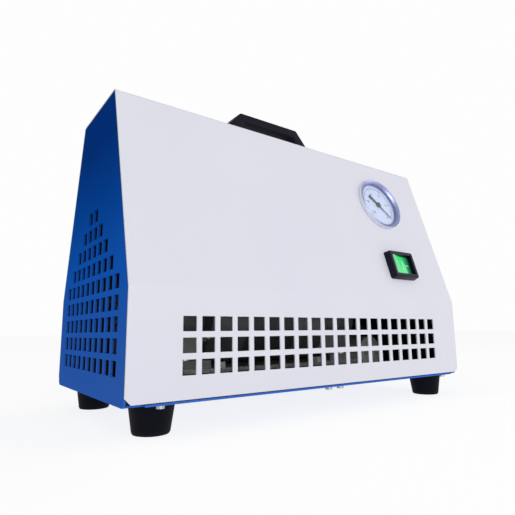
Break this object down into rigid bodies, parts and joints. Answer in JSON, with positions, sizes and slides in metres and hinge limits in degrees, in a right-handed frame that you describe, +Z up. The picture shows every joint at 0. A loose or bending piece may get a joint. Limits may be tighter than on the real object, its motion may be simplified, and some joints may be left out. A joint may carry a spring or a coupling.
{
  "type": "vacuum pump",
  "caption": "Portable oil-free diaphragm vacuum pump in a vented folded-sheet case, with carrying handle, rubber feet, panel gauge, lit rocker switch and a motor pump inside.",
  "frame": {"origin": "on the ground under the middle of the case", "axes": "+X right along the front, +Y to the back, +Z up; the front with gauge and switch faces -Y"},
  "size_m": [0.35, 0.172, 0.277],
  "materials": {
    "cover_white": "satin",
    "tray_blue": "satin",
    "foot_rubber": "matte",
    "handle_plastic": "satin",
    "zinc_steel": "satin",
    "bezel_chrome": "polished",
    "gauge_steel": "satin",
    "lens_glass": "polished",
    "dial_white": "matte",
    "pointer_grey": "satin",
    "brass": "satin",
    "switch_black": "satin",
    "rocker_green": "gloss",
    "inlet_black": "satin",
    "nickel_brass": "satin",
    "cast_aluminium": "cast",
    "machined_aluminium": "satin",
    "lamination_steel": "matte",
    "winding_copper": "lacquered",
    "bearing_steel": "polished",
    "diaphragm_rubber": "matte",
    "reed_steel": "polished",
    "fan_plastic": "satin",
    "hose_rubber": "matte",
    "silencer_plastic": "matte",
    "capacitor_shell": "satin"
  },
  "bodies": {
    "case": {"base_tray": "tray_blue", "cover_shell": "cover_white", "cover_screws": "zinc_steel", "rubber_feet": "foot_rubber", "foot_screws": "zinc_steel", "hex_nuts": "zinc_steel", "carry_handle": "handle_plastic", "handle_screws": "zinc_steel", "gauge_case": "gauge_steel", "gauge_bezel": "bezel_chrome", "gauge_lens": "lens_glass", "gauge_dial": "dial_white", "gauge_socket": "brass", "gauge_clamp": "zinc_steel", "gauge_clamp_nuts": "zinc_steel", "switch_frame": "switch_black", "switch_terminals": "brass", "power_inlet": "inlet_black", "inlet_pins": "nickel_brass", "inlet_screws": "zinc_steel", "vacuum_manifold": "machined_aluminium", "vacuum_nozzle": "nickel_brass", "exhaust_silencer": "silencer_plastic", "vibration_mounts": "foot_rubber", "pump_plate": "zinc_steel", "pump_bolts": "zinc_steel", "crankcase_left": "cast_aluminium", "crankcase_right": "cast_aluminium", "motor_bolts": "zinc_steel", "stator_core": "lamination_steel", "stator_windings": "winding_copper", "shaft_bearings": "bearing_steel", "diaphragm_left": "diaphragm_rubber", "diaphragm_right": "diaphragm_rubber", "valve_plates": "machined_aluminium", "reed_valves": "reed_steel", "pump_heads": "cast_aluminium", "head_screws": "zinc_steel", "hose_fittings": "silencer_plastic", "link_tube": "hose_rubber", "inlet_hose": "hose_rubber", "gauge_hose": "hose_rubber", "run_capacitor": "capacitor_shell", "capacitor_clip": "zinc_steel"},
    "rocker": {"switch_rocker": "rocker_green"},
    "pointer": {"gauge_pointer": "pointer_grey"},
    "fuse_tray": {"fuse_drawer": "inlet_black"},
    "needle": {"regulator_stem": "brass"},
    "knob": {"regulator_knob": "handle_plastic"},
    "shaft": {"motor_shaft": "bearing_steel", "rotor_core": "lamination_steel", "eccentrics": "zinc_steel", "cooling_fans": "fan_plastic"},
    "rod_left": {"con_rod_left": "machined_aluminium", "rod_bearing_left": "bearing_steel", "clamp_disc_left": "machined_aluminium"},
    "rod_right": {"con_rod_right": "machined_aluminium", "rod_bearing_right": "bearing_steel", "clamp_disc_right": "machined_aluminium"}
  },
  "joints": [
    {"name": "rocker_tilt", "type": "hinge", "parent": "case", "child": "rocker", "pos_m": [0.103, -0.07784, 0.12761], "axis": [0, -0.2839, -0.9589], "range_deg": [0, 18]},
    {"name": "pointer_turn", "type": "hinge", "parent": "case", "child": "pointer", "pos_m": [0.102, -0.05563, 0.1956], "axis": [0, -0.9589, 0.2839], "range_deg": [0, 270], "stiffness_Nm_per_rad": 0.0001},
    {"name": "fuse_slide", "type": "slide", "parent": "case", "child": "fuse_tray", "axis": [0, 0.9589, 0.2839], "range_m": [0, 0.014]},
    {"name": "regulator_turn", "type": "hinge", "parent": "needle", "child": "knob", "pos_m": [-0.034, 0.05988, 0.18121], "axis": [0, 0.9589, 0.2839], "range_deg": [0, 1080]},
    {"name": "regulator_lift", "type": "slide", "parent": "case", "child": "needle", "axis": [0, 0.9589, 0.2839], "range_m": [0, 0.0015]},
    {"name": "shaft_spin", "type": "hinge", "parent": "case", "child": "shaft", "pos_m": [-0.028, 0, 0.079], "axis": [1, 0, 0], "continuous": true},
    {"name": "rod_left_turn", "type": "hinge", "parent": "shaft", "child": "rod_left", "pos_m": [-0.108, 0, 0.076], "axis": [1, 0, 0], "continuous": true, "deforming": ["diaphragm_left"]},
    {"name": "rod_right_turn", "type": "hinge", "parent": "shaft", "child": "rod_right", "pos_m": [0.052, 0, 0.082], "axis": [1, 0, 0], "continuous": true, "deforming": ["diaphragm_right"]}
  ],
  "couplings": [
    {"joint": "regulator_turn", "follows": "regulator_lift", "rad_per_m": 12566},
    {"joint": "rod_left_turn", "follows": "shaft_spin", "ratio": -1},
    {"joint": "rod_right_turn", "follows": "shaft_spin", "ratio": -1}
  ]
}
